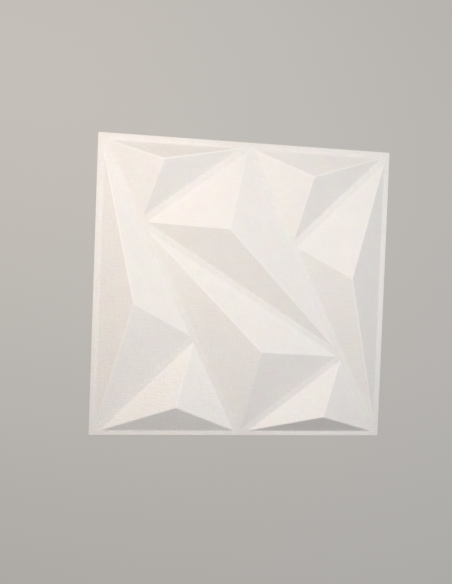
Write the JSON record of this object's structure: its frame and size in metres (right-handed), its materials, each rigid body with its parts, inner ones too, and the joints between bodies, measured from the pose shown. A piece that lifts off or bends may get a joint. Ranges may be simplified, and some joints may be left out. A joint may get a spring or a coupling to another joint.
{
  "type": "acoustic panel",
  "caption": "Thin square wall panel with a faceted relief of low off-centre pyramids, formed from one white plastic sheet.",
  "frame": {"origin": "middle of the square, on the flat back plane that meets the wall or floor", "axes": "+Z out of the wall, square to the back; +X and +Y along the sides, +Y towards the top side as pictured"},
  "size_m": [0.3, 0.3, 0.0159],
  "materials": {
    "white_pvc": "matte, finely grained, off-white"
  },
  "bodies": {
    "root": {"relief_panel": "white_pvc"}
  },
  "joints": []
}
